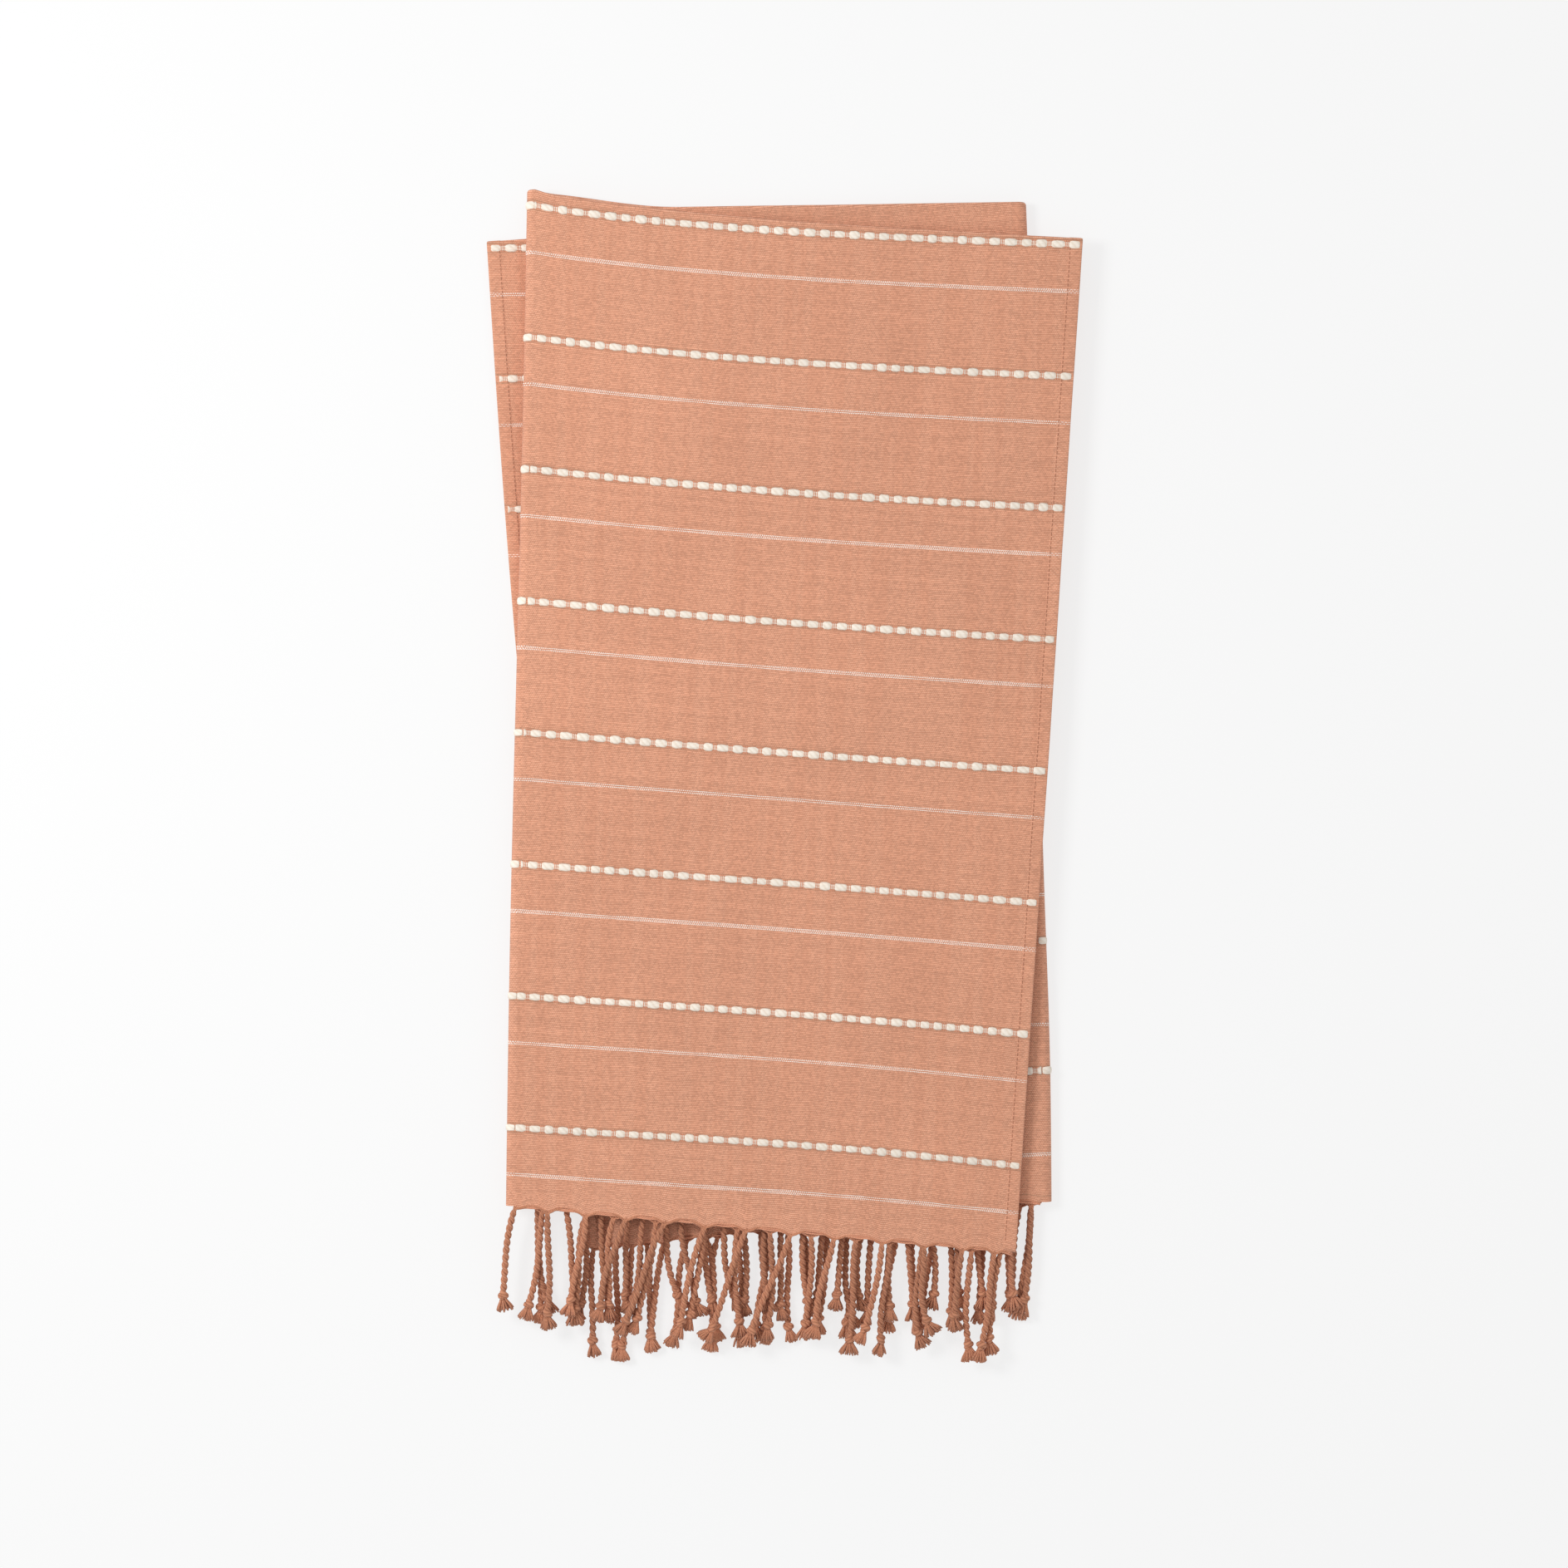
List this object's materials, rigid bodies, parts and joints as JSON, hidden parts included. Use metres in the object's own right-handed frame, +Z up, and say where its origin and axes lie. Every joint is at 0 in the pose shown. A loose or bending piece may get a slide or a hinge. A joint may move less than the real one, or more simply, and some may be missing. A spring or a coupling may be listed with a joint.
{
  "type": "fringed woven throw",
  "caption": "Hand-woven terracotta cotton throw with ivory yarn stripes and knotted twisted fringe, folded into a long flat stack that opens at its two side folds.",
  "frame": {"origin": "on the surface that the throw lies on, under the middle of the folded stack", "axes": "+Y along the folded length, away from the fringe; +X across the width, towards the front third's hem; +Z up, out of the stack"},
  "size_m": [0.4718, 0.9324, 0.0267],
  "materials": {
    "cloth": "matte",
    "hem": "matte",
    "ivory_yarn": "matte",
    "fringe_cord": "matte"
  },
  "bodies": {
    "back_third": {"back_panel": "cloth", "back_hem": "hem", "right_fold": "cloth", "back_thick_stripes": "ivory_yarn", "back_thin_stripes": "ivory_yarn", "back_upper_fringe": "fringe_cord", "back_lower_fringe": "fringe_cord"},
    "middle_third": {"middle_panel": "cloth", "left_fold": "cloth", "middle_thick_stripes": "ivory_yarn", "middle_thin_stripes": "ivory_yarn", "middle_upper_fringe": "fringe_cord", "middle_lower_fringe": "fringe_cord"},
    "front_third": {"front_panel": "cloth", "front_hem": "hem", "front_thick_stripe_1": "ivory_yarn", "front_thick_stripe_2": "ivory_yarn", "front_thick_stripe_3": "ivory_yarn", "front_thick_stripe_4": "ivory_yarn", "front_thick_stripe_5": "ivory_yarn", "front_thick_stripe_6": "ivory_yarn", "front_thick_stripe_7": "ivory_yarn", "front_thick_stripe_8": "ivory_yarn", "front_thin_stripe_1": "ivory_yarn", "front_thin_stripe_2": "ivory_yarn", "front_thin_stripe_3": "ivory_yarn", "front_thin_stripe_4": "ivory_yarn", "front_thin_stripe_5": "ivory_yarn", "front_thin_stripe_6": "ivory_yarn", "front_thin_stripe_7": "ivory_yarn", "front_thin_stripe_8": "ivory_yarn"},
    "front_fringe": {"front_tassel_1": "fringe_cord", "front_tassel_2": "fringe_cord", "front_tassel_3": "fringe_cord", "front_tassel_4": "fringe_cord", "front_tassel_5": "fringe_cord", "front_tassel_6": "fringe_cord", "front_tassel_7": "fringe_cord", "front_tassel_8": "fringe_cord", "front_tassel_9": "fringe_cord", "front_tassel_10": "fringe_cord", "front_tassel_11": "fringe_cord", "front_tassel_12": "fringe_cord", "front_tassel_13": "fringe_cord", "front_under_fringe": "fringe_cord"}
  },
  "joints": [
    {"name": "middle_third_unfold", "type": "hinge", "parent": "back_third", "child": "middle_third", "pos_m": [0.19775, 0, 0.00675], "axis": [-0.0279, 0.9996, 0], "range_deg": [0, 180], "deforming": ["right_fold"]},
    {"name": "front_third_unfold", "type": "hinge", "parent": "middle_third", "child": "front_third", "pos_m": [-0.20675, 0, 0.01565], "axis": [-0.0209, -0.9998, 0], "range_deg": [0, 180], "deforming": ["left_fold"]},
    {"name": "front_fringe_lift", "type": "hinge", "parent": "front_third", "child": "front_fringe", "pos_m": [-0.01542, -0.35543, 0.0252], "axis": [-0.9958, 0.0914, 0], "range_deg": [0, 180]}
  ]
}
